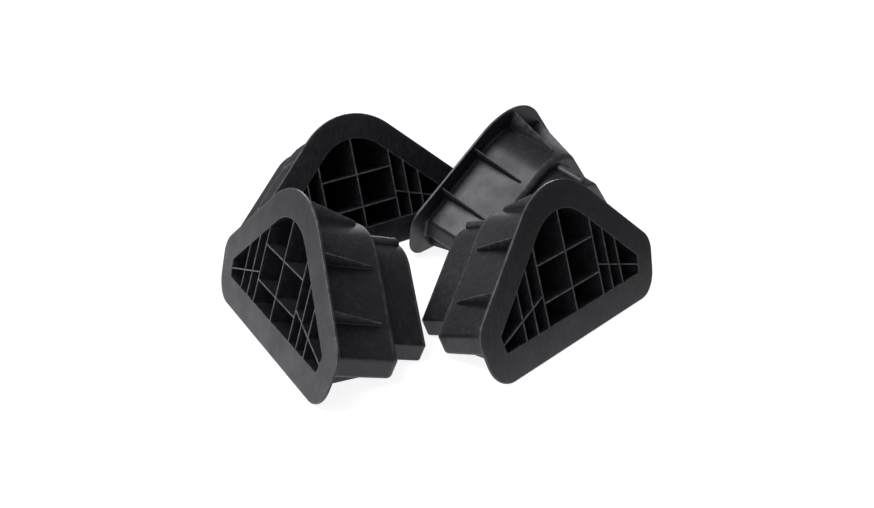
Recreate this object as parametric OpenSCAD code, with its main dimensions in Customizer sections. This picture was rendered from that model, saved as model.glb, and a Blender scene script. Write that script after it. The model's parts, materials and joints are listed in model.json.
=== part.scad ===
// A set of four double-sided wheel chocks standing as they are set down on a floor.
// Each chock is one moulding. Its own frame has x along the base, y up the flange,
// and z out of the flange's open face, with the body behind at negative z.

/* [Outline] */
// Width of the opening across its upper corners
opening_width = 204; // [180:1:250]
// Slope of the two wheel ramps above the base
ramp_slope = 40.4; // [36:0.2:46]
// Radius of the opening's rounded apex
apex_radius = 50; // [35:1:60]
// Height of the opening's short end faces
end_height = 15; // [10:1:24]
// Outward lean of the end faces
end_lean = 13; // [5:1:20]
// Width of the flange around the opening
rim = 23.7; // [18:0.1:30]
// Radius of the flange's upper corners
flange_upper_radius = 18.5; // [12:0.5:24]
// Radius of the flange's lower corners
flange_lower_radius = 26.5; // [18:0.5:32]

/* [Body] */
// Thickness of the flange
flange_thickness = 2.6; // [2:0.1:4]
// Thickness of the body walls
wall = 2.8; // [2:0.1:4]
// Depth of the wide first stage, from the flange face
stage_depth = 65.4; // [52:0.2:80]
// Depth of the whole chock, to the end of the nose
chock_depth = 100.6; // [84:0.2:124]
// Chamfer around the end of the first stage
shoulder = 5.4; // [2:0.1:7]
// Chamfer around the end of the nose
nose_chamfer = 3; // [1:0.5:5]
// Step in from the opening's ramps to the nose
nose_ramp_step = 9.7; // [6:0.1:14]
// Step up from the opening's base to the nose
nose_base_step = 4.5; // [3:0.1:7]
// Step in from the opening's end faces to the nose
nose_end_step = 21.5; // [12:0.5:26]

/* [Ribs] */
// Thickness of the ribs
rib_thickness = 2; // [1.4:0.1:3]
// Distance of the main upright ribs from the centre
main_rib = 41; // [34:0.5:46]
// Distance of the second upright ribs from the centre
second_rib = 56.4; // [50:0.2:62]
// Distance of the outer upright ribs from the centre
outer_rib = 72.1; // [66:0.1:76]
// Height of the lower cross rib above the opening's base
lower_cross = 20.2; // [14:0.2:28]
// Height of the upper cross rib above the opening's base
upper_cross = 51.5; // [42:0.5:60]
// Height at which the corner ribs leave the main ribs
corner_rib_start = 26.8; // [20:0.2:40]

/* [Fins and ridge] */
// Thickness of the fins behind the flange
fin_thickness = 2.2; // [1.6:0.1:3]
// Length of the fins, from the flange face
fin_length = 54; // [40:1:58]
// Height of a fin's tip above the body
fin_tip = 3; // [2:0.5:5]
// Position of the lower ramp fins, up the ramp from its corner
lower_fin = 28.5; // [20:0.5:40]
// Position of the upper ramp fins, up the ramp from its corner
upper_fin = 78.3; // [60:0.1:84]
// Distance of the base fins from the centre
base_fin = 85; // [60:1:90]
// Radius of the round ridge along the nose
ridge_radius = 4.6; // [3:0.1:5.5]
// Share of the nose's length that the ridge runs
ridge_share = 0.78; // [0.6:0.02:0.9]

/* [Placement] */
// Position along X of the front left chock
front_left_x = -141.2; // [-200:0.1:-120]
// Position along Y of the front left chock
front_left_y = -133.2; // [-180:0.1:-120]
// Position along X of the front right chock
front_right_x = 121.1; // [110:0.1:180]
// Position along Y of the front right chock
front_right_y = -113.7; // [-160:0.1:-105]
// Position along X of the back right chock
back_right_x = 42.9; // [35:0.1:100]
// Position along Y of the back right chock
back_right_y = 146.8; // [140:0.1:200]
// Position along X of the back left chock
back_left_x = -62.5; // [-110:0.1:-55]
// Position along Y of the back left chock
back_left_y = 68.3; // [60:0.1:120]
// Heading of the front left chock's open face
front_left_heading = -152.8; // [-165:0.1:-140]
// Heading of the front right chock's open face
front_right_heading = -38.7; // [-50:0.1:-25]
// Heading of the back right chock's open face
back_right_heading = 142.5; // [130:0.1:155]
// Heading of the back left chock's open face
back_left_heading = -49.5; // [-60:0.1:-40]

/* [Hidden] */
$fn = 96;
plastic = [0.09, 0.09, 0.10];
// Margin by which a cutting shape passes the surface it cuts
past = 1;
// Radii of the opening's, the body's and the nose's small corners
opening_corner = 2.5;
nose_corner = 2;
// Depth of the ridge's own axis below the nose's top line
ridge_sink = 0.6;
// Larger than any part of one chock
beyond = 400;
// Flange width over the opening's corners, and depth, that the placement was set out for
layout_width = 251.4;
layout_depth = 100.6;

half = opening_width / 2;
// Outward directions of the base, the end face and the ramp on the right-hand side
base_dir = [0, -1];
end_dir = [cos(end_lean), -sin(end_lean)];
ramp_dir = [sin(ramp_slope), cos(ramp_slope)];
end_line = end_dir * [half, end_height];
ramp_line = ramp_dir * [half, end_height];
opening_height = (ramp_line - apex_radius * (1 - cos(ramp_slope))) / cos(ramp_slope);
apex_centre = opening_height - apex_radius;

// A chock leans back until the lower edge of its nose meets the floor
nose_tilt = atan((rim + nose_base_step) / (chock_depth - nose_chamfer - flange_thickness));
stage_tilt = atan((rim - wall) / (stage_depth - flange_thickness));
tilt = min(nose_tilt, stage_tilt);

// The set spreads with whichever of the chock's width and depth has grown the more
spread = max((opening_width + 2 * rim) / layout_width, chock_depth / layout_depth);

// Point where two lines, each given as a direction and a distance along it, meet
function meet(a, ca, b, cb) =
    let (d = a.x * b.y - a.y * b.x)
    [(ca * b.y - cb * a.y) / d, (a.x * cb - b.x * ca) / d];

function mirrored(points) =
    [for (i = [len(points) - 1 : -1 : 0]) [-points[i].x, points[i].y]];

// Rounded outline moved outward from the opening's own by its base, end and ramp amounts
module outline(base_out, end_out, ramp_out, lower_radius, upper_radius) {
    lower = meet(base_dir, base_out - lower_radius, end_dir, end_line + end_out - lower_radius);
    upper = meet(end_dir, end_line + end_out - upper_radius, ramp_dir, ramp_line + ramp_out - upper_radius);
    top_radius = apex_radius + ramp_out;
    right = [
        lower + lower_radius * base_dir,
        lower + lower_radius * end_dir,
        upper + upper_radius * end_dir,
        upper + upper_radius * ramp_dir,
        [0, apex_centre] + top_radius * ramp_dir
    ];
    polygon(concat(right, mirrored(right)));
    for (side = [-1, 1]) {
        translate([side * lower.x, lower.y]) circle(r = lower_radius);
        translate([side * upper.x, upper.y]) circle(r = upper_radius);
    }
    intersection() {
        translate([0, apex_centre]) circle(r = top_radius);
        translate([-top_radius, apex_centre]) square([2 * top_radius, 2 * top_radius]);
    }
}

module flange_outline() {
    outline(rim, rim, rim, flange_lower_radius, flange_upper_radius);
}

module opening_outline() {
    outline(0, 0, 0, opening_corner, opening_corner);
}

module stage_outline() {
    outline(wall, wall, wall, opening_corner + wall, opening_corner + wall);
}

// The nose's outline, moved in by the given amount
module nose_outline(inset, corner) {
    outline(-nose_base_step - inset, -nose_end_step - inset, -nose_ramp_step - inset, corner, corner);
}

// Fills the drawn outline back from the open face to the given depth
module back_to(depth, front) {
    translate([0, 0, -depth]) linear_extrude(height = depth - front) children();
}

// Space outside a plane that chamfers one side's end edge
module side_cut(direction, line, depth, chamfer) {
    point = direction * (line - chamfer);
    translate([point.x, point.y, -depth])
        rotate([0, 0, atan2(direction.y, direction.x)])
            rotate([0, 45, 0])
                translate([0, -beyond / 2, -beyond / 2]) cube([beyond, beyond, beyond]);
}

// Space outside a cone that chamfers the apex's end edge
module apex_cut(radius, depth, chamfer) {
    reach = 2 * radius;
    translate([0, apex_centre, -depth - past])
        difference() {
            linear_extrude(height = chamfer + past)
                polygon([[0, 0], reach * ramp_dir, [0, 2 * reach], [-reach * ramp_dir.x, reach * ramp_dir.y]]);
            translate([0, 0, -past])
                cylinder(r1 = radius - chamfer - 2 * past, r2 = radius + past, h = chamfer + 3 * past);
        }
}

// Chamfers the far end of a drawn stage all round
module chamfered(base_out, end_out, ramp_out, depth, chamfer) {
    difference() {
        children();
        side_cut(base_dir, base_out, depth, chamfer);
        for (side = [0, 1]) {
            mirror([side, 0, 0]) side_cut(end_dir, end_line + end_out, depth, chamfer);
            mirror([side, 0, 0]) side_cut(ramp_dir, ramp_line + ramp_out, depth, chamfer);
        }
        apex_cut(apex_radius + ramp_out, depth, chamfer);
    }
}

module stage() {
    chamfered(wall, wall, wall, stage_depth, shoulder)
        back_to(stage_depth, 0) stage_outline();
}

module nose() {
    chamfered(-nose_base_step, -nose_end_step, -nose_ramp_step, chock_depth, nose_chamfer)
        back_to(chock_depth, flange_thickness) nose_outline(0, nose_corner);
}

module ridge() {
    length = ridge_share * (chock_depth - stage_depth);
    translate([0, opening_height - nose_ramp_step - ridge_sink, -stage_depth - length]) {
        cylinder(r = ridge_radius, h = length + wall / 2);
        sphere(r = ridge_radius);
    }
}

// One fin, drawn outward along x from a line that lies on the opening's own outline
module fin(point, direction) {
    translate([point.x, point.y, 0])
        rotate([0, 0, atan2(direction.y, direction.x)])
            rotate([90, 0, 0])
                translate([0, 0, -fin_thickness / 2])
                    linear_extrude(height = fin_thickness)
                        polygon([
                            [wall - past, -flange_thickness + past],
                            [rim - past, -flange_thickness + past],
                            [rim - past, -flange_thickness],
                            [wall + fin_tip, -fin_length],
                            [wall - past, -fin_length]
                        ]);
}

module fins() {
    up_ramp = [-cos(ramp_slope), sin(ramp_slope)];
    corner = [half, end_height];
    for (side = [0, 1]) {
        mirror([side, 0, 0]) fin(corner + lower_fin * up_ramp, ramp_dir);
        mirror([side, 0, 0]) fin(corner + upper_fin * up_ramp, ramp_dir);
        mirror([side, 0, 0]) fin([base_fin, 0], base_dir);
    }
    fin([0, 0], base_dir);
    fin([0, opening_height], [0, 1]);
}

// The hollow narrows once behind the shoulder, to keep the wall there
module cavity() {
    straight_depth = stage_depth - shoulder - (sqrt(2) - 1) * wall;
    narrow = shoulder - (2 - sqrt(2)) * wall;
    translate([0, 0, past]) back_to(straight_depth + past, 0) opening_outline();
    back_to(stage_depth - wall, flange_thickness)
        outline(-narrow, -narrow, -narrow, opening_corner, opening_corner);
    back_to(chock_depth - wall, flange_thickness) nose_outline(wall, opening_corner);
}

// Upright slab through the cavity at a distance from the centre
module upright(x) {
    translate([x - rib_thickness / 2, -past, -chock_depth]) cube([rib_thickness, opening_height, chock_depth]);
}

module cross(y) {
    translate([-main_rib, y - rib_thickness / 2, -chock_depth]) cube([2 * main_rib, rib_thickness, chock_depth]);
}

module corner_rib() {
    start = [main_rib, corner_rib_start];
    finish = [half - end_height / 2 * tan(end_lean), end_height / 2];
    run = finish - start;
    translate([start.x, start.y, -chock_depth])
        rotate([0, 0, atan2(run.y, run.x)])
            translate([0, -rib_thickness / 2, 0]) cube([norm(run) + past, rib_thickness, chock_depth]);
}

module ribs() {
    upright(0);
    for (side = [0, 1]) mirror([side, 0, 0]) {
        upright(main_rib);
        upright(second_rib);
        upright(outer_rib);
        corner_rib();
    }
    cross(lower_cross);
    cross(upper_cross);
}

module moulding() {
    difference() {
        union() {
            back_to(flange_thickness, 0) flange_outline();
            stage();
            nose();
            ridge();
            fins();
        }
        cavity();
    }
    intersection() {
        ribs();
        union() {
            stage();
            nose();
        }
    }
}

// Stands a chock on the floor, its base edge centred on the given point
module stand(x, y, heading) {
    translate([spread * x, spread * y, flange_thickness * sin(tilt)])
        rotate([0, 0, heading + 90])
            rotate([90 - tilt, 0, 0])
                translate([0, rim, 0]) children();
}

module chock_front_left() {
    color(plastic) stand(front_left_x, front_left_y, front_left_heading) moulding();
}

module chock_front_right() {
    color(plastic) stand(front_right_x, front_right_y, front_right_heading) moulding();
}

module chock_back_right() {
    color(plastic) stand(back_right_x, back_right_y, back_right_heading) moulding();
}

module chock_back_left() {
    color(plastic) stand(back_left_x, back_left_y, back_left_heading) moulding();
}

chock_front_left();
chock_front_right();
chock_back_right();
chock_back_left();
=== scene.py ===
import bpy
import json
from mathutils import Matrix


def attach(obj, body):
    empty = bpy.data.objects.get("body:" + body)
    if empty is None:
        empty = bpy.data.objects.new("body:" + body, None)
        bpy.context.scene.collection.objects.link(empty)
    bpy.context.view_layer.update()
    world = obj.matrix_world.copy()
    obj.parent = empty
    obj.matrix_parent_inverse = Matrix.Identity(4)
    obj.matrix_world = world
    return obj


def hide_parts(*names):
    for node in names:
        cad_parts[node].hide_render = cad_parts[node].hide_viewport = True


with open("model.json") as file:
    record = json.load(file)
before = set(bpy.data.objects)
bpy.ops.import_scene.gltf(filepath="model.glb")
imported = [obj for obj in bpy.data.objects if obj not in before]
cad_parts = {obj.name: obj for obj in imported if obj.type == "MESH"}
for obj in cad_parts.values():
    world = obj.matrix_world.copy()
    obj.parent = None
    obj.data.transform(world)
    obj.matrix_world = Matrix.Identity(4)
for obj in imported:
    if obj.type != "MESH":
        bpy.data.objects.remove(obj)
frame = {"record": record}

"""Four moulded black wheel chocks standing on a pale studio floor."""

import json
import logging
import math
from dataclasses import dataclass, field
from enum import Enum

import bpy
import numpy as np
from mathutils import Matrix, Vector

LOG = logging.getLogger("wheel_chocks")
MM = 0.001
MIDDLE = (0.3, 0.7)  # range that most of a noise's values lie in
WHITE = (1.0, 1.0, 1.0, 1.0)


class Stand(Enum):
    """The four places at which a chock of the set stands, with the value that its names share."""

    FRONT_LEFT = "front_left"
    FRONT_RIGHT = "front_right"
    BACK_RIGHT = "back_right"
    BACK_LEFT = "back_left"


class Hand(Enum):
    """The two mirrored halves of a chock, with the sign of x in each."""

    RIGHT = 1.0
    LEFT = -1.0


@dataclass
class Skin:
    """A closed surface in a chock's own frame, in millimetres.

    Attributes:
        points: Vertex positions, one row each.
        faces: Vertex numbers of each face.
        wear_and_highlight: How rubbed each vertex is, from 0 on an open wall to 1 on an exposed edge; the same
            value also lightens the edge as a painted highlight.
    """

    points: np.ndarray
    faces: list[tuple[int, ...]]
    wear_and_highlight: np.ndarray

    def turned_out(self) -> "Skin":
        """Turns the faces round if they point inwards.

        The enclosed volume is the sum over triangles of a fan in each face of the triple product of
        their corners, over six. It is negative when the faces point inwards.

        Returns:
            The same surface with its faces pointing outwards.
        """
        fans = np.array([(f[0], f[i], f[i + 1]) for f in self.faces for i in range(1, len(f) - 1)])
        a, b, c = (self.points[fans[:, k]] for k in range(3))
        if float(np.einsum("ij,ij->i", a, np.cross(b, c)).sum()) < 0.0:
            return Skin(self.points, [tuple(reversed(f)) for f in self.faces], self.wear_and_highlight)
        return self


def joined(skins: list[Skin]) -> Skin:
    """Lists several closed surfaces as one.

    Args:
        skins: The surfaces, each complete in itself.

    Returns:
        One surface holding all of them.
    """
    starts = np.cumsum([0] + [len(s.points) for s in skins[:-1]])
    faces = [tuple(int(v + start) for v in f) for s, start in zip(skins, starts) for f in s.faces]
    return Skin(np.vstack([s.points for s in skins]), faces, np.concatenate([s.wear_and_highlight for s in skins]))


def carried(grid: np.ndarray, wear_and_highlight: np.ndarray) -> Skin:
    """Makes a closed skin from loops carried along a path.

    Row i of the grid is one closed loop. Neighbouring loops are joined by four-sided faces, and the
    first and last loop are each closed by one flat face.

    Args:
        grid: Positions, shaped loops by points by three.
        wear_and_highlight: Wear at each position, which also paints edge highlights, shaped loops by points.

    Returns:
        The closed skin.
    """
    rows, columns = grid.shape[:2]
    index = np.arange(rows * columns).reshape(rows, columns)
    after = np.roll(index, -1, axis=1)
    quads = np.stack([index[:-1], after[:-1], after[1:], index[1:]], axis=-1).reshape(-1, 4)
    faces = [tuple(q) for q in quads.tolist()]
    faces += [tuple(index[0, ::-1].tolist()), tuple(index[-1].tolist())]
    return Skin(grid.reshape(-1, 3), faces, wear_and_highlight.reshape(-1)).turned_out()


def meeting(a: np.ndarray, reach_a: np.ndarray, b: np.ndarray, reach_b: np.ndarray) -> np.ndarray:
    """Finds where pairs of lines cross.

    A line holds the points whose product with its direction equals its reach. The crossing comes
    from Cramer's rule on the two equations.

    Args:
        a: Direction of the first lines.
        reach_a: Reach of each first line.
        b: Direction of the second lines.
        reach_b: Reach of each second line.

    Returns:
        The crossing of each pair, one row each.
    """
    det = a[0] * b[1] - a[1] * b[0]
    return np.stack([(reach_a * b[1] - reach_b * a[1]) / det, (a[0] * reach_b - b[0] * reach_a) / det], -1)


def between(start: np.ndarray, finish: np.ndarray, count: int) -> np.ndarray:
    """Spaces points evenly from each start up to, but not on, its finish.

    Args:
        start: First points, one row each.
        finish: Last points, one row each.
        count: Number of points.

    Returns:
        Points shaped rows by count by two.
    """
    share = np.arange(count)[None, :, None] / count
    return start[:, None] * (1.0 - share) + finish[:, None] * share


def swung(centre: np.ndarray, radius: np.ndarray, first: float, last: float, count: int) -> np.ndarray:
    """Spaces points on an arc round each centre, up to but not on its last angle.

    Args:
        centre: Arc centres, one row each.
        radius: Radius of each arc.
        first: First angle, in radians.
        last: Last angle, in radians.
        count: Number of points.

    Returns:
        Points shaped rows by count by two.
    """
    angle = first + (last - first) * np.arange(count) / count
    spoke = np.stack([np.cos(angle), np.sin(angle)], -1)
    return centre[:, None] + radius[:, None, None] * spoke[None]


@dataclass
class Outline:
    """The rounded triangle that the flange, the opening and the body share.

    Attributes:
        half_width: Half the opening's width across its upper corners.
        slope: Slope of the ramps above the base, in degrees.
        apex_radius: Radius of the opening's apex.
        end_height: Height of the opening's short end faces.
        end_lean: Outward lean of the end faces, in degrees.
        nose_base: How far the nose is stepped up from the opening's base.
        nose_end: How far the nose is stepped in from the opening's end faces.
        nose_ramp: How far the nose is stepped in from the opening's ramps.
    """

    half_width: float = 102.0
    slope: float = 40.4
    apex_radius: float = 50.0
    end_height: float = 15.0
    end_lean: float = 13.0
    nose_base: float = 4.5
    nose_end: float = 21.5
    nose_ramp: float = 9.7

    def __post_init__(self) -> None:
        """Works out the directions and reaches of the three kinds of side."""
        slope, lean = math.radians(self.slope), math.radians(self.end_lean)
        self.base_dir = np.array([0.0, -1.0])
        self.end_dir = np.array([math.cos(lean), -math.sin(lean)])
        self.ramp_dir = np.array([math.sin(slope), math.cos(slope)])
        self.corner = np.array([self.half_width, self.end_height])
        self.end_line = float(self.end_dir @ self.corner)
        self.ramp_line = float(self.ramp_dir @ self.corner)
        rise = self.apex_radius * (1.0 - math.cos(slope))
        self.height = (self.ramp_line - rise) / math.cos(slope)
        self.apex_centre = self.height - self.apex_radius

    def loops(self, out: np.ndarray, nose: np.ndarray, lower: np.ndarray, upper: np.ndarray) -> np.ndarray:
        """Draws one closed loop for each row.

        A loop runs from the middle of the base, round the right-hand corners and over the apex, and
        back down the mirrored side. Its sides stand out from the opening's own by the given amount,
        less the nose's step times the nose's share, and arcs tangent to them round the corners.

        Args:
            out: How far each loop stands outside the opening's outline.
            nose: Share of the nose's step taken by each loop, from 0 to 1.
            lower: Radius of each loop's lower corners.
            upper: Radius of each loop's upper corners.

        Returns:
            Positions shaped loops by points by two.
        """
        base = out - nose * self.nose_base
        end = self.end_line + out - nose * self.nose_end
        ramp = self.ramp_line + out - nose * self.nose_ramp
        low = meeting(self.base_dir, base - lower, self.end_dir, end - lower)
        high = meeting(self.end_dir, end - upper, self.ramp_dir, ramp - upper)
        crown = np.broadcast_to([0.0, self.apex_centre], low.shape)
        crown_radius = self.apex_radius + out - nose * self.nose_ramp
        lean, tip = -math.radians(self.end_lean), math.radians(90.0 - self.slope)
        low_start = low + lower[:, None] * self.base_dir
        low_finish = low + lower[:, None] * self.end_dir
        high_start = high + upper[:, None] * self.end_dir
        high_finish = high + upper[:, None] * self.ramp_dir
        crown_start = crown + crown_radius[:, None] * self.ramp_dir
        middle = np.stack([np.zeros_like(base), -base], -1)
        right = np.concatenate([
            between(middle, low_start, 18),
            swung(low, lower, -math.pi / 2, lean, 14),
            between(low_finish, high_start, 5),
            swung(high, upper, lean, tip, 12),
            between(high_finish, crown_start, 16),
            swung(crown, crown_radius, tip, math.pi / 2, 20),
            (crown + crown_radius[:, None] * np.array([0.0, 1.0]))[:, None],
        ], axis=1)
        left = right[:, 1:-1][:, ::-1] * np.array([-1.0, 1.0])
        return np.concatenate([right, left], axis=1)

    def ramp_height(self, x: float, out: float) -> float:
        """Gives the height of a ramp moved outward by an amount, at a distance from the centre."""
        slope = math.radians(self.slope)
        return (self.ramp_line + out - math.sin(slope) * abs(x)) / math.cos(slope)

    def top_height(self, x: float, out: float) -> float:
        """Gives the height of the outline's upper edge, ramp or apex, moved outward by an amount."""
        radius = self.apex_radius + out
        if abs(x) < radius * math.sin(math.radians(self.slope)):
            return self.apex_centre + math.sqrt(radius * radius - x * x)
        return self.ramp_height(x, out)


@dataclass
class Depths:
    """Thicknesses and depths that the shell, ribs and fins share, measured back from the open face.

    Attributes:
        rim: Width of the flange around the opening.
        flange: Thickness of the flange.
        wall: Thickness of the body's walls.
        stage: Depth of the wide first stage.
        whole: Depth of the whole chock.
        shoulder: Radius round the end of the first stage.
        nose_edge: Radius round the end of the nose.
    """

    rim: float = 23.7
    flange: float = 2.6
    wall: float = 2.8
    stage: float = 65.4
    whole: float = 100.5
    shoulder: float = 5.4
    nose_edge: float = 3.5


def bend(centre: tuple[float, float], radius: float, first: float, last: float, count: int) -> np.ndarray:
    """Draws a rounded edge of the shell's profile.

    Args:
        centre: Centre of the arc, as a distance outward and a height along z.
        radius: Radius of the arc.
        first: First angle in degrees, from outward towards the open face.
        last: Last angle in degrees.
        count: Number of points, both ends included.

    Returns:
        Points on the arc, one row each.
    """
    angle = np.radians(np.linspace(first, last, count))
    return np.stack([centre[0] + radius * np.cos(angle), centre[1] + radius * np.sin(angle)], -1)


@dataclass
class Shell:
    """The flange and the hollow two-stage body, as one skin out of a single profile.

    Attributes:
        outline: The rounded triangle that the profile is carried round.
        depths: Thicknesses and depths.
        flange_lower: Radius of the flange's lower corners.
        flange_upper: Radius of the flange's upper corners.
        opening_corner: Radius of the opening's corners.
        draft: How much the first stage narrows from its root to its end.
        fall: How far the flange's face falls away towards its edge.
        lip: Radius of the opening's edge.
        edge: Radius of the flange's outer edges.
        root: Radius of the fillet between the body and the flange.
    """

    outline: Outline
    depths: Depths
    flange_lower: float = 26.5
    flange_upper: float = 18.5
    opening_corner: float = 2.5
    draft: float = 0.7
    fall: float = 0.35
    lip: float = 0.45
    edge: float = 0.5
    root: float = 2.2

    def outside(self) -> tuple[np.ndarray, np.ndarray, np.ndarray]:
        """Draws the profile from the opening's edge, over the flange and back to the nose's end.

        Returns:
            The profile's points, the nose's share at each, and at each the wear, which also paints edge
            highlights.
        """
        d, lip, edge = self.depths, self.lip, self.edge
        outer_side = d.rim - edge
        wall_top, wall_end = d.wall, d.wall - self.draft
        nose_end = -self.draft / 2
        shoulder_z = -d.stage + d.shoulder
        # The last value of each row is how rubbed that edge is; it also lightens the edge as a painted
        # highlight.
        parts: list[tuple[np.ndarray, float, float]] = [
            (bend((lip, -lip), lip, 180, 90, 5), 0.0, 0.75),
            (np.array([[lip + 0.5, 0.0], [8.0, -self.fall * 0.3], [16.0, -self.fall * 0.65]]), 0.0, 0.0),
            (np.array([[outer_side - 0.6, -self.fall]]), 0.0, 0.2),
            (bend((outer_side, -self.fall - edge), edge, 90, 0, 5), 0.0, 1.0),
            (np.array([[d.rim, -self.fall - edge - 0.15], [d.rim, -d.flange + edge + 0.15]]), 0.0, 0.35),
            (bend((outer_side, -d.flange + edge), edge, 0, -90, 5), 0.0, 0.7),
            (np.array([[outer_side - 0.5, -d.flange], [14.0, -d.flange]]), 0.0, 0.0),
            (np.array([[wall_top + self.root + 0.4, -d.flange]]), 0.0, 0.0),
            (bend((wall_top + self.root, -d.flange - self.root), self.root, 90, 180, 6), 0.0, 0.0),
            (np.array([[wall_top - 0.02, -d.flange - self.root - 0.5]]), 0.0, 0.0),
            (np.array([[d.wall - self.draft / 2, -32.0]]), 0.0, 0.0),
            (np.array([[wall_end, shoulder_z + 0.6]]), 0.0, 0.1),
            (bend((wall_end - d.shoulder, shoulder_z), d.shoulder, 0, -90, 9), 0.0, 0.45),
        ]
        fillet = 1.3
        nose_parts: list[tuple[np.ndarray, float, float]] = [
            (np.array([[fillet + 0.15, -d.stage]]), 1.0, 0.0),
            (bend((fillet, -d.stage - fillet), fillet, 90, 180, 5), 1.0, 0.0),
            (np.array([[-0.02, -d.stage - fillet - 0.5], [nose_end / 2, -82.0]]), 1.0, 0.0),
            (np.array([[nose_end, -d.whole + d.nose_edge + 0.5]]), 1.0, 0.1),
            (bend((nose_end - d.nose_edge, -d.whole + d.nose_edge), d.nose_edge, 0, -90, 7), 1.0, 0.6),
            (np.array([[nose_end - d.nose_edge - 0.6, -d.whole]]), 1.0, 0.0),
        ]
        rows = parts + nose_parts
        points = np.vstack([p for p, _, _ in rows])
        share = np.concatenate([np.full(len(p), s) for p, s, _ in rows])
        wear_and_highlight = np.concatenate([np.full(len(p), w) for p, _, w in rows])
        return points, share, wear_and_highlight

    def inside(self) -> tuple[np.ndarray, np.ndarray, np.ndarray]:
        """Draws the profile from the opening's edge down the cavity to the nose's floor.

        Returns:
            The profile's points, the nose's share at each, and the wear at each.
        """
        d = self.depths
        floor, step, turn = -d.whole + d.wall, -d.stage + d.wall, 3.2
        rows = [
            (np.array([[-0.02, -self.lip - 0.5], [-0.25, -30.0], [-0.5, step + turn + 0.5]]), 0.0),
            (bend((-0.5 - turn, step + turn), turn, 0, -90, 6), 0.0),
            (np.array([[-d.wall + 1.6, step]]), 1.0),
            (bend((-d.wall + 1.2, step - 1.2), 1.2, 90, 180, 4), 1.0),
            (np.array([[-d.wall - 0.02, step - 1.8], [-d.wall - 0.3, floor + 2.0]]), 1.0),
            (bend((-d.wall - 1.8, floor + 1.5), 1.5, 0, -90, 4), 1.0),
        ]
        points = np.vstack([p for p, _ in rows])
        share = np.concatenate([np.full(len(p), s) for p, s in rows])
        return points, share, np.zeros(len(points))

    def corner_radii(
        self, out: np.ndarray, share: np.ndarray, flange: np.ndarray
    ) -> tuple[np.ndarray, np.ndarray]:
        """Gives each loop's corner radii.

        On the flange they grow evenly from the opening's corner to the flange's own. On the body
        they are the opening's corner plus the distance outward, and never under a millimetre.

        Args:
            out: How far each loop stands outside the opening's outline.
            share: Share of the nose's step at each loop.
            flange: Which loops lie on the flange.

        Returns:
            The lower and the upper corner radius of each loop.
        """
        body = np.maximum(self.opening_corner + np.where(share > 0.5, out, np.clip(out, -1.5, None)), 1.0)
        along = np.clip(out / self.depths.rim, 0.0, 1.0)
        lower = self.opening_corner + (self.flange_lower - self.opening_corner) * along
        upper = self.opening_corner + (self.flange_upper - self.opening_corner) * along
        return np.where(flange, lower, body), np.where(flange, upper, body)

    def skin(self) -> Skin:
        """Carries the whole profile round the outline and closes it at both floors.

        The profile runs from the cavity's floor up to the open face, over the flange, and back to the
        nose's end. Each floor is closed by loops shrunk towards its own middle, the last to a point.

        Returns:
            The closed skin.
        """
        out_points, out_share, out_wear_and_highlight = self.outside()
        in_points, in_share, in_wear_and_highlight = self.inside()
        points = np.vstack([in_points[::-1], out_points])
        share = np.concatenate([in_share[::-1], out_share])
        wear_and_highlight = np.concatenate([in_wear_and_highlight[::-1], out_wear_and_highlight])
        on_flange = points[:, 1] > -self.depths.flange - self.root - 0.1
        on_flange[: len(in_points)] = False
        near_wall = on_flange & (points[:, 1] < -self.depths.flange + 0.01) & (points[:, 0] < 6.0)
        on_flange &= ~near_wall
        lower, upper = self.corner_radii(points[:, 0], share, on_flange)
        loops = self.outline.loops(points[:, 0], share, lower, upper)
        z = np.broadcast_to(points[:, 1][:, None, None], loops.shape[:2] + (1,))
        rings = np.concatenate([loops, z], axis=-1)
        shrink = np.array([0.92, 0.7, 0.4, 0.15])
        grid, worn_and_highlit = rings, np.broadcast_to(wear_and_highlight[:, None], rings.shape[:2])
        for ring, first in ((rings[0], True), (rings[-1], False)):
            middle = ring.mean(axis=0)
            inner = middle + (ring - middle) * shrink[:, None, None]
            zero = np.zeros(inner.shape[:2])
            grid = np.concatenate([inner[::-1], grid] if first else [grid, inner])
            worn_and_highlit = np.concatenate([zero, worn_and_highlit] if first else [worn_and_highlit, zero])
        return self.closed(grid, worn_and_highlit)

    @staticmethod
    def closed(grid: np.ndarray, wear_and_highlight: np.ndarray) -> Skin:
        """Joins the loops and gathers the first and the last to one point each.

        Args:
            grid: Positions, shaped loops by points by three.
            wear_and_highlight: Wear at each position, which also paints edge highlights.

        Returns:
            The closed skin.
        """
        rows, columns = grid.shape[:2]
        index = np.arange(rows * columns).reshape(rows, columns)
        after = np.roll(index, -1, axis=1)
        quads = np.stack([index[:-1], after[:-1], after[1:], index[1:]], axis=-1).reshape(-1, 4)
        poles = np.stack([grid[0].mean(axis=0), grid[-1].mean(axis=0)])
        first, last = rows * columns, rows * columns + 1
        fan_first = np.stack([after[0], index[0], np.full(columns, first)], -1)
        fan_last = np.stack([index[-1], after[-1], np.full(columns, last)], -1)
        faces = [tuple(q) for q in quads.tolist() + fan_first.tolist() + fan_last.tolist()]
        points = np.vstack([grid.reshape(-1, 3), poles])
        return Skin(points, faces, np.concatenate([wear_and_highlight.reshape(-1), [0.0, 0.0]])).turned_out()


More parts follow.
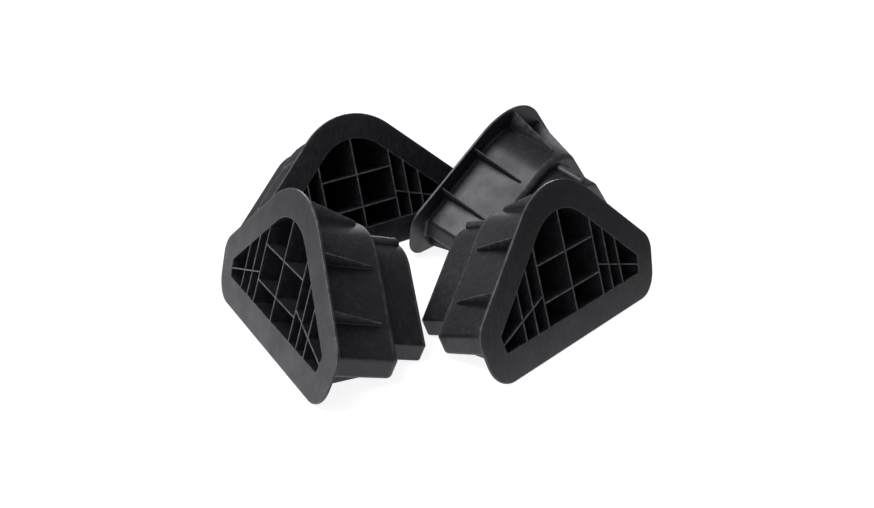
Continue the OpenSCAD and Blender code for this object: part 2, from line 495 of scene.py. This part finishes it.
@dataclass
class Ribs:
    """The lattice of ribs inside the body, flush with the open face.

    Attributes:
        outline: The rounded triangle that bounds the cavity.
        depths: Thicknesses and depths.
        front: Thickness of a rib at the open face.
        back: Thickness of a rib at the cavity's floor.
        main: Distance of the main upright ribs from the centre.
        second: Distance of the second upright ribs from the centre.
        outer: Distance of the outer upright ribs from the centre.
        lower_cross: Height of the lower cross rib.
        upper_cross: Height of the upper cross rib.
        corner_start: Height at which the corner ribs leave the main ribs.
        seat: How far a rib's end runs into the wall.
    """

    outline: Outline
    depths: Depths
    front: float = 1.2
    back: float = 2.3
    main: float = 41.0
    second: float = 56.4
    outer: float = 72.1
    lower_cross: float = 20.2
    upper_cross: float = 51.5
    corner_start: float = 26.8
    seat: float = 0.9

    def slab(self, start: tuple[float, float], finish: tuple[float, float], top: float, floor: float) -> Skin:
        """Carries a rib's cross-section from one end to the other.

        The cross-section is a tall slab that thickens evenly with depth, with its two front corners
        rounded. It is carried along a straight line through eight places, and its ends are closed.

        Args:
            start: First end, across and up the open face.
            finish: Last end.
            top: Height of the rib's front edge along z.
            floor: Height of its back edge along z.

        Returns:
            The closed slab.
        """
        whole = self.depths.whole
        thick_top = self.front + (self.back - self.front) * -top / whole
        thick_floor = self.front + (self.back - self.front) * -floor / whole
        half, foot, radius = thick_top / 2, thick_floor / 2, 0.32
        turn = np.radians(np.linspace(0, 90, 5))
        arc = np.stack([half - radius + radius * np.cos(turn), top - radius + radius * np.sin(turn)], -1)
        right = np.vstack([[foot, floor], [half + 0.004, top - radius - 0.5], arc, [half - radius - 0.15, top]])
        section = np.vstack([right, right[::-1] * np.array([-1.0, 1.0])])
        # The front corners are lightened in colour, as rubbing and as a painted highlight along the rib's front
        # edge.
        wear_and_highlight_right = np.concatenate([[0.0, 0.05], np.full(5, 1.0), [0.9]])
        wear_and_highlight = np.concatenate([wear_and_highlight_right, wear_and_highlight_right[::-1]])
        a, b = np.array(start), np.array(finish)
        along = (b - a) / np.linalg.norm(b - a)
        across = np.array([-along[1], along[0]])
        places = a + (b - a) * np.linspace(0, 1, 8)[:, None]
        flat = places[:, None] + section[None, :, :1] * across
        z = np.broadcast_to(section[None, :, 1:], flat.shape[:2] + (1,))
        return carried(np.concatenate([flat, z], -1), np.broadcast_to(wear_and_highlight, flat.shape[:2]))

    def upright(self, x: float) -> list[Skin]:
        """Builds an upright rib, in the first stage and on into the nose.

        Args:
            x: Distance of the rib from the centre.

        Returns:
            The rib's two lengths of slab.
        """
        d, line = self.depths, self.outline
        foot = -self.seat
        nose_foot = line.nose_base + d.wall - self.seat
        head = line.top_height(x, 0.0) + self.seat
        nose_head = line.top_height(x, -line.nose_ramp - d.wall) + self.seat
        step = -d.stage + d.wall
        return [
            self.slab((x, foot), (x, head), 0.0, step - self.seat / 2),
            self.slab((x, nose_foot), (x, nose_head), step + 0.3, -d.whole + d.wall - self.seat),
        ]

    def cross(self, y: float) -> list[Skin]:
        """Builds a cross rib between the main ribs.

        Args:
            y: Height of the rib above the opening's base.

        Returns:
            The rib's two lengths of slab.
        """
        d = self.depths
        step = -d.stage + d.wall
        return [
            self.slab((-self.main, y), (self.main, y), 0.0, step - self.seat / 2),
            self.slab((-self.main, y), (self.main, y), step + 0.3, -d.whole + d.wall - self.seat),
        ]

    def corner(self, hand: Hand) -> list[Skin]:
        """Builds the rib from a main rib to the middle of an end face.

        Args:
            hand: Half of the chock that the rib is in.

        Returns:
            The rib's two lengths of slab.
        """
        d, line, sign = self.depths, self.outline, hand.value
        start = np.array([self.main, self.corner_start])
        lean = math.tan(math.radians(line.end_lean))
        finish = np.array([line.half_width - line.end_height / 2 * lean, line.end_height / 2])
        run = (finish - start) / np.linalg.norm(finish - start)
        wall_end = finish + run * self.seat
        inner_line = line.end_line - line.nose_end - d.wall + self.seat
        reach = (inner_line - line.end_dir @ start) / (line.end_dir @ run)
        nose_end = start + run * reach
        step = -d.stage + d.wall
        flip = np.array([sign, 1.0])
        return [
            self.slab(tuple(start * flip), tuple(wall_end * flip), 0.0, step - self.seat / 2),
            self.slab(tuple(start * flip), tuple(nose_end * flip), step + 0.3, -d.whole + d.wall - self.seat),
        ]

    def skin(self) -> Skin:
        """Builds the whole lattice.

        Returns:
            Every rib as one surface.
        """
        pieces = self.upright(0.0) + self.cross(self.lower_cross) + self.cross(self.upper_cross)
        for hand in Hand:
            for x in (self.main, self.second, self.outer):
                pieces += self.upright(hand.value * x)
            pieces += self.corner(hand)
        return joined(pieces)


@dataclass
class Fins:
    """The tapering fins that brace the flange from behind.

    Attributes:
        outline: The rounded triangle that the fins stand on.
        depths: Thicknesses and depths.
        root: Thickness of a fin where it meets the body.
        edge: Thickness of a fin at its free edge.
        length: Distance of a fin's tip from the open face.
        tip: Height of a fin's tip above the body.
        inset: How far inside the flange's edge a fin's free edge meets the flange.
        lower: Place of the lower ramp fins, up the ramp from its corner.
        upper: Place of the upper ramp fins, up the ramp from its corner.
        base: Distance of the outer base fins from the centre.
    """

    outline: Outline
    depths: Depths
    root: float = 1.7
    edge: float = 1.1
    length: float = 54.0
    tip: float = 2.5
    inset: float = 3.6
    lower: float = 28.5
    upper: float = 78.3
    base: float = 85.0

    def fin(self, foot: np.ndarray, direction: np.ndarray) -> Skin:
        """Carries a fin's cross-section from the flange to the tip.

        The free edge comes down in a straight line from just inside the flange's edge to the tip's
        height, and then turns down over the last two millimetres. At each place the cross-section
        rises from a flared root in the wall, narrows to the free edge, and is rounded over.

        Args:
            foot: Point of the opening's outline that the fin stands over.
            direction: Way in which the fin stands out.

        Returns:
            The closed fin.
        """
        d = self.depths
        share = np.concatenate([np.linspace(0, 0.96, 12), [0.975, 0.985, 0.993, 0.998, 1.0]])
        z = -(d.flange - 0.6) - (self.length - d.flange + 0.6) * share
        free = d.rim - self.inset + (d.wall + self.tip - d.rim + self.inset) * share
        fold = np.clip((share - 0.96) / 0.04, 0.0, 1.0)
        free = free - self.tip * 0.75 * (1.0 - np.sqrt(1.0 - fold * fold))
        half, low = self.edge / 2, self.root / 2
        turn = np.radians(np.linspace(0, 180, 9))
        level = d.wall + np.array([-1.4, -0.1, 0.35, 1.0])
        width = np.array([low + 0.8, low + 0.5, low + 0.2, low])
        cap = half * np.sin(turn)
        top = free[:, None] - half + cap[None]
        side = np.minimum(level[None], free[:, None] - half - 0.05)
        out = np.concatenate([side, top, side[:, ::-1]], axis=1)
        across = np.concatenate([width, half * np.cos(turn), -width[::-1]])
        across = np.broadcast_to(across, out.shape)
        # The rounded free edge is lightened in colour, as rubbing and as a painted highlight.
        worn_and_highlit = np.concatenate([np.zeros(len(level)), np.full(len(turn), 0.85), np.zeros(len(level))])
        wear_and_highlight = np.broadcast_to(worn_and_highlit, out.shape)
        normal = direction / np.linalg.norm(direction)
        along = np.array([-normal[1], normal[0]])
        flat = foot + out[..., None] * normal + across[..., None] * along
        depth = np.broadcast_to(z[:, None, None], out.shape + (1,))
        return carried(np.concatenate([flat, depth], -1), wear_and_highlight)

    def skin(self) -> Skin:
        """Builds every fin.

        Returns:
            Every fin as one surface.
        """
        line = self.outline
        slope = math.radians(line.slope)
        up_ramp = np.array([-math.cos(slope), math.sin(slope)])
        pieces = [self.fin(np.array([0.0, 0.0]), np.array([0.0, -1.0]))]
        pieces.append(self.fin(np.array([0.0, line.height]), np.array([0.0, 1.0])))
        for hand in Hand:
            flip = np.array([hand.value, 1.0])
            for place in (self.lower, self.upper):
                pieces.append(self.fin((line.corner + place * up_ramp) * flip, line.ramp_dir * flip))
            pieces.append(self.fin(np.array([self.base, 0.0]) * flip, line.base_dir))
        return joined(pieces)


@dataclass
class Ridge:
    """The half-round ridge along the top of the nose.

    Attributes:
        outline: The rounded triangle that the nose follows.
        depths: Thicknesses and depths.
        radius: Radius of the ridge.
        sink: Depth of its axis below the nose's top line.
        share: Share of the nose's length that it runs.
    """

    outline: Outline
    depths: Depths
    radius: float = 5.2
    sink: float = 0.6
    share: float = 0.78

    def skin(self) -> Skin:
        """Carries the ridge's cross-section along the nose.

        The cross-section is the part of a circle above a chord that lies inside the wall. Its radius
        holds along the ridge, then falls to nothing as a quarter circle does.

        Returns:
            The closed ridge.
        """
        d = self.depths
        finish = -d.stage - self.share * (d.whole - d.stage)
        turn = np.radians(np.linspace(0, 89, 10))
        start, level = [-d.stage + d.wall / 2], np.linspace(-d.stage - 0.5, finish, 5)
        z = np.concatenate([start, level, finish - self.radius * np.sin(turn[1:])])
        size = np.concatenate([np.full(6, self.radius), self.radius * np.cos(turn[1:])])
        angle = np.radians(np.linspace(-22, 202, 23))
        spoke = np.stack([np.cos(angle), np.sin(angle)], -1)
        axis = np.array([0.0, self.outline.height - self.outline.nose_ramp - self.sink])
        flat = axis + size[:, None, None] * spoke[None]
        depth = np.broadcast_to(z[:, None, None], flat.shape[:2] + (1,))
        # The ridge's upper half is lightened in colour, most along its crown, as a painted highlight.
        wear_and_highlight = np.broadcast_to(0.5 * np.clip(np.sin(angle), 0.0, 1.0), flat.shape[:2])
        return carried(np.concatenate([flat, depth], -1), wear_and_highlight)


@dataclass
class Graph:
    """A node tree, with short ways to add the nodes that the materials and the world share.

    Attributes:
        tree: The node tree.
    """

    tree: bpy.types.NodeTree

    def feed(self, node: bpy.types.Node, values: dict) -> bpy.types.Node:
        """Gives inputs of a node their constants and links.

        Args:
            node: The node.
            values: For each input's name or number, a constant or the socket to link to it.

        Returns:
            The same node.
        """
        for name, value in values.items():
            if isinstance(value, bpy.types.NodeSocket):
                self.tree.links.new(value, node.inputs[name])
            else:
                node.inputs[name].default_value = value
        return node

    def add(self, kind: str, values: dict | None = None) -> bpy.types.Node:
        """Adds a node of a kind and feeds it the given values."""
        return self.feed(self.tree.nodes.new(kind), values or {})

    def math(self, operation: str, *values: object, clamp: bool = False) -> bpy.types.NodeSocket:
        """Works out one operation on two or three values."""
        node = self.add("ShaderNodeMath", dict(enumerate(values)))
        node.operation = operation
        node.use_clamp = clamp
        return node.outputs["Value"]

    def spread(
        self, source: bpy.types.NodeSocket, old: tuple[float, float], new: tuple[float, float]
    ) -> bpy.types.NodeSocket:
        """Maps a value from an old range onto a new one, and holds it there."""
        ends = dict(zip(("From Min", "From Max", "To Min", "To Max"), (*old, *new)))
        return self.add("ShaderNodeMapRange", {"Value": source, **ends}).outputs["Result"]

    def noise(self, place: bpy.types.NodeSocket, scale: float, detail: float) -> bpy.types.NodeSocket:
        """Adds a noise of the given scale and detail."""
        values = {"Vector": place, "Scale": scale, "Detail": detail}
        return self.add("ShaderNodeTexNoise", values).outputs["Fac"]

    def mix(self, share: object, first: object, second: object) -> bpy.types.NodeSocket:
        """Mixes two colours."""
        node = self.add("ShaderNodeMix")
        node.data_type = "RGBA"
        return self.feed(node, {"Factor": share, "A": first, "B": second}).outputs["Result"]

    def seen(self, ray: bpy.types.Node) -> bpy.types.NodeSocket:
        """Gives 1 to light that reaches the camera straight or through something clear."""
        return self.math("MAXIMUM", ray.outputs["Is Camera Ray"], ray.outputs["Is Transmission Ray"])


@dataclass(frozen=True)
class BlackPlastic:
    """Black moulded polypropylene with a fine grain, a soft sheen and rubbed edges, whose lighter colour also
    paints their highlights.

    Attributes:
        colour: Linear colour of the plain surface.
        rub_and_highlight_colour: Linear colour where edges are rubbed, which also paints the highlights that
            the edges catch.
        roughness: Lowest and highest roughness of the plain surface.
    """

    colour: tuple[float, float, float] = (0.0064, 0.0062, 0.0088)
    rub_and_highlight_colour: tuple[float, float, float] = (0.135, 0.137, 0.150)
    roughness: tuple[float, float] = (0.36, 0.48)

    def material(self, name: str) -> bpy.types.Material:
        """Builds the node material.

        A large soft noise varies the colour, as flow marks do. A fine noise gives
        the grain, and a middling one the slight waviness of a moulded wall and the roughness. The wear
        attribute, broken up by noise, lightens the exposed edges, partly as rubbing and partly as painted
        highlights where the edges catch the light, and a fine upright noise gives a thin dust.

        Args:
            name: Name for the material.

        Returns:
            The material.
        """
        made = bpy.data.materials.new(name)
        made.use_nodes = True
        graph = Graph(made.node_tree)
        place = graph.add("ShaderNodeTexCoord").outputs["Object"]
        flow, wave, grain = (graph.noise(place, *size) for size in ((14.0, 3.0), (45.0, 2.0), (1500.0, 2.0)))
        wear_and_highlight = graph.add("ShaderNodeAttribute")
        wear_and_highlight.attribute_name = "wear_and_highlight"
        broken = graph.spread(graph.noise(place, 160.0, 4.0), MIDDLE, (0.15, 0.95))
        rub_and_highlight_mask = graph.math("MULTIPLY", wear_and_highlight.outputs["Fac"], broken, clamp=True)
        upright = graph.add("ShaderNodeMapping", {"Scale": (1.0, 1.0, 0.4), "Vector": place}).outputs["Vector"]
        speckle = graph.spread(graph.noise(upright, 330.0, 5.0), MIDDLE, (-0.04, 0.16))
        dust = graph.math("MULTIPLY", speckle, graph.spread(flow, MIDDLE, (0.35, 1.0)), clamp=True)
        darker, lighter = ((*[c * share for c in self.colour], 1.0) for share in (0.82, 1.2))
        plain = graph.mix(graph.spread(flow, MIDDLE, (0.0, 1.0)), darker, lighter)
        coarse = graph.add("ShaderNodeBump", {"Strength": 0.35, "Distance": 0.0006, "Height": wave})
        fine = graph.add("ShaderNodeBump", {"Strength": 0.35, "Distance": 0.00012, "Height": grain})
        graph.feed(fine, {"Normal": coarse.outputs["Normal"]})
        graph.feed(made.node_tree.nodes["Principled BSDF"], {
            # Rubbed edges get the lighter colour, which also serves as a painted highlight on them, and so does
            # the dust.
            "Base Color": graph.mix(graph.math("MAXIMUM", rub_and_highlight_mask, dust), plain, (*self.rub_and_highlight_colour, 1.0)),
            "Roughness": graph.spread(wave, MIDDLE, self.roughness),
            "IOR": 1.49,
            "Specular IOR Level": 0.5,
            "Specular Tint": (0.93, 0.94, 1.0, 1.0),
            "Normal": fine.outputs["Normal"],
        })
        return made


@dataclass
class Chock:
    """One chock of the set, a single moulding.

    Attributes:
        stand: Place at which it stands.
        outline: The rounded triangle that its parts share.
        depths: Thicknesses and depths.
    """

    stand: Stand
    outline: Outline = field(default_factory=Outline)
    depths: Depths = field(default_factory=Depths)

    def skin(self) -> Skin:
        """Builds the moulding in its own frame.

        Returns:
            Shell, ribs, fins and ridge as one surface.
        """
        shared = (self.outline, self.depths)
        return joined([part(*shared).skin() for part in (Shell, Ribs, Fins, Ridge)])

    def placed(self, points: np.ndarray) -> np.ndarray:
        """Moves points from the chock's own frame to the set's.

        The record's mount for this chock gives a point on the flange's face, half a rim below the
        opening, and the face's outward direction. The base runs level, at right angles to it.

        Args:
            points: Positions in millimetres in the chock's own frame.

        Returns:
            Positions in metres in the set's frame.
        """
        name = "flange_face_" + self.stand.value
        mount = next(m for m in frame["record"]["mounts"] if m["name"] == name)
        face = np.array(mount["axis"], float)
        face /= np.linalg.norm(face)
        level = np.cross([0.0, 0.0, 1.0], face)
        level /= np.linalg.norm(level)
        turn = np.stack([level, np.cross(face, level), face])
        home = np.array([0.0, -self.depths.rim / 2, 0.0])
        return (points - home) * MM @ turn + np.array(mount["pos_m"], float)

    def build(self, material: bpy.types.Material) -> bpy.types.Object:
        """Makes the moulding's object, dresses it and puts it on its body.

        Args:
            material: Material for the whole moulding.

        Returns:
            The finished object.
        """
        skin = self.skin()
        mesh = bpy.data.meshes.new("moulding_" + self.stand.value)
        mesh.from_pydata(self.placed(skin.points).tolist(), [], skin.faces)
        mesh.polygons.foreach_set("use_smooth", np.ones(len(mesh.polygons), dtype=bool))
        mesh.set_sharp_from_angle(angle=math.radians(38.0))
        # This attribute lightens rubbed edges in colour and so also paints their highlights.
        wear_and_highlight = mesh.attributes.new("wear_and_highlight", "FLOAT", "POINT")
        wear_and_highlight.data.foreach_set("value", skin.wear_and_highlight.astype(np.float32))
        mesh.materials.append(material)
        mesh.update()
        piece = bpy.data.objects.new("moulding_" + self.stand.value, mesh)
        bpy.context.scene.collection.objects.link(piece)
        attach(piece, self.stand.value)
        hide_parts("chock_" + self.stand.value)
        LOG.info("%s: %d points, %d faces", piece.name, len(mesh.vertices), len(mesh.polygons))
        return piece


@dataclass(frozen=True)
class Lamp:
    """A square studio lamp.

    Attributes:
        name: Name of the lamp.
        place: Where it stands, in metres.
        target: Point that it faces.
        width: Length of its sides.
        power: Its power in watts.
    """

    name: str
    place: tuple[float, float, float]
    target: tuple[float, float, float]
    width: float
    power: float

    def build(self) -> None:
        """Makes the lamp."""
        data = bpy.data.lights.new(self.name, "AREA")
        data.shape = "SQUARE"
        data.size = self.width
        data.energy = self.power
        lamp = bpy.data.objects.new(self.name, data)
        bpy.context.scene.collection.objects.link(lamp)
        lamp.location = self.place
        aim(lamp, self.target)
        LOG.info("lamp %s", self.name)


def aim(thing: bpy.types.Object, target: tuple[float, float, float], roll: float = 0.0) -> None:
    """Turns a lamp or camera to face a point.

    Its z axis points away from the target, its x axis is level, and its y axis completes the two.

    Args:
        thing: The lamp or camera.
        target: Point to face.
        roll: Turn about the line of sight, in degrees.
    """
    back = (Vector(thing.location) - Vector(target)).normalized()
    right = Vector((0.0, 0.0, 1.0)).cross(back).normalized()
    turn = Matrix((right, back.cross(right), back)).transposed()
    thing.rotation_euler = (turn @ Matrix.Rotation(math.radians(roll), 3, "Z")).to_euler()


@dataclass(frozen=True)
class Studio:
    """The floor, the lamps, the surroundings and the camera.

    Attributes:
        focal: Focal length, in millimetres on a 36 mm wide sensor.
        target: Point on the floor at the middle of the view.
        distance: Distance of the camera from that point.
        elevation: Angle of the camera above the floor, in degrees.
        roll: Turn of the camera about its line of sight, in degrees.
        lift: Floor's own light to the camera.
        mirrored: Floor's own light as the plastic mirrors it, close by and further off.
        sky: Strength of the surroundings on the left and on the right.
    """

    focal: float = 50.76
    target: tuple[float, float, float] = (-0.00023, 0.06353, 0.0)
    distance: float = 1.18217
    elevation: float = 23.054
    roll: float = 0.13
    lift: float = 0.88
    mirrored: tuple[float, float] = (0.85, 0.03)
    sky: tuple[float, float] = (0.50, 0.14)

    def camera(self) -> None:
        """Makes the camera."""
        data = bpy.data.cameras.new("camera")
        data.lens = self.focal
        data.sensor_width = 36.0
        data.dof.use_dof = False
        data.clip_start, data.clip_end = 0.05, 50.0
        camera = bpy.data.objects.new("camera", data)
        bpy.context.scene.collection.objects.link(camera)
        rise = math.radians(self.elevation)
        x, y, z = self.target
        camera.location = (x, y - self.distance * math.cos(rise), z + self.distance * math.sin(rise))
        aim(camera, self.target, self.roll)
        bpy.context.scene.camera = camera
        LOG.info("camera")

    def floor(self) -> None:
        """Makes the pale floor, a wide disc whose height is nothing everywhere.

        A point of the disc is its ring's radius times its spoke's direction.
        """
        radii, spokes = np.array([0.3, 0.8, 1.8, 4.0, 9.0]), 96
        angle = np.linspace(0.0, 2.0 * math.pi, spokes, endpoint=False)
        spoke = np.stack([np.cos(angle), np.sin(angle), np.zeros_like(angle)], -1)
        points = np.vstack([(radii[:, None, None] * spoke).reshape(-1, 3), [[0.0, 0.0, 0.0]]])
        index = np.arange(len(radii) * spokes).reshape(len(radii), spokes)
        after = np.roll(index, -1, axis=1)
        quads = np.stack([index[:-1], index[1:], after[1:], after[:-1]], -1).reshape(-1, 4)
        fan = np.stack([index[0], after[0], np.full(spokes, len(points) - 1)], -1)
        mesh = bpy.data.meshes.new("floor")
        mesh.from_pydata((points + [0.0, 0.0, -0.0002]).tolist(), [], quads.tolist() + fan.tolist())
        mesh.update()
        mesh.materials.append(self.paper())
        floor = bpy.data.objects.new("floor", mesh)
        bpy.context.scene.collection.objects.link(floor)
        LOG.info("floor")

    def paper(self) -> bpy.types.Material:
        """Builds the floor's material.

        To the camera the floor is lifted by a little light of its own, so that it stays clear and
        keeps the shadows. The plastic mirrors that light too, strongly close by and faintly further
        off.

        Returns:
            The material.
        """
        made = bpy.data.materials.new("floor")
        made.use_nodes = True
        nodes, graph = made.node_tree.nodes, Graph(made.node_tree)
        paper = graph.feed(nodes["Principled BSDF"], {
            "Base Color": (0.30, 0.30, 0.30, 1.0),
            "Roughness": 0.9,
            "Specular IOR Level": 0.1,
        })
        ray = graph.add("ShaderNodeLightPath")
        place = graph.add("ShaderNodeTexCoord").outputs["Object"]
        away = graph.add("ShaderNodeVectorMath", {0: place, 1: (-0.3, -0.08, 0.0)})
        away.operation = "DISTANCE"
        fade = graph.spread(away.outputs["Value"], (0.35, 0.75), self.mirrored)
        shown = graph.math("MULTIPLY", ray.outputs["Is Glossy Ray"], fade)
        lift = graph.math("MULTIPLY_ADD", graph.seen(ray), self.lift, shown)
        glow = graph.add("ShaderNodeEmission", {"Strength": lift})
        both = graph.add("ShaderNodeAddShader", {0: paper.outputs["BSDF"], 1: glow.outputs["Emission"]})
        graph.feed(nodes["Material Output"], {"Surface": both.outputs["Shader"]})
        return made

    def surroundings(self) -> None:
        """Makes the world: white to the camera, and otherwise a soft light, stronger on the left."""
        world = bpy.data.worlds.new("surroundings")
        bpy.context.scene.world = world
        world.use_nodes = True
        nodes, graph = world.node_tree.nodes, Graph(world.node_tree)
        way = graph.add("ShaderNodeTexCoord").outputs["Generated"]
        across = graph.add("ShaderNodeSeparateXYZ", {"Vector": way}).outputs["X"]
        strength = graph.spread(across, (-1.0, 1.0), self.sky)
        soft = graph.feed(nodes["Background"], {"Color": WHITE, "Strength": strength})
        white = graph.add("ShaderNodeBackground", {"Color": WHITE, "Strength": 1.0})
        pick = graph.add("ShaderNodeMixShader", {
            "Fac": graph.seen(graph.add("ShaderNodeLightPath")),
            1: soft.outputs["Background"],
            2: white.outputs["Background"],
        })
        graph.feed(nodes["World Output"], {"Surface": pick.outputs["Shader"]})
        LOG.info("surroundings")

    def lamps(self) -> list[Lamp]:
        """Lists the lamps.

        Returns:
            The key lamp overhead and the faint front and back lamps.
        """
        return [
            Lamp("key", (-0.62, -0.42, 1.55), (0.0, 0.05, 0.05), 0.8, 19.0),
            Lamp("front", (-0.7, -2.1, 0.8), (0.0, 0.0, 0.05), 1.0, 7.0),
            Lamp("back", (0.1, 2.3, 0.45), (0.0, 0.0, 0.05), 0.8, 9.0),
        ]

    def build(self) -> None:
        """Makes everything in the studio and sets how colours are shown."""
        bpy.context.scene.view_settings.view_transform = "Standard"
        self.camera()
        self.floor()
        self.surroundings()
        for lamp in self.lamps():
            lamp.build()


def main() -> None:
    """Builds the studio and the four chocks."""
    logging.basicConfig(level=logging.INFO, format="%(name)s: %(message)s")
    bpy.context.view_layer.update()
    Studio().build()
    plastic = BlackPlastic().material("black_plastic")
    for stand in Stand:
        Chock(stand).build(plastic)
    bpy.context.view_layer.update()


if __name__ == "__main__":
    main()
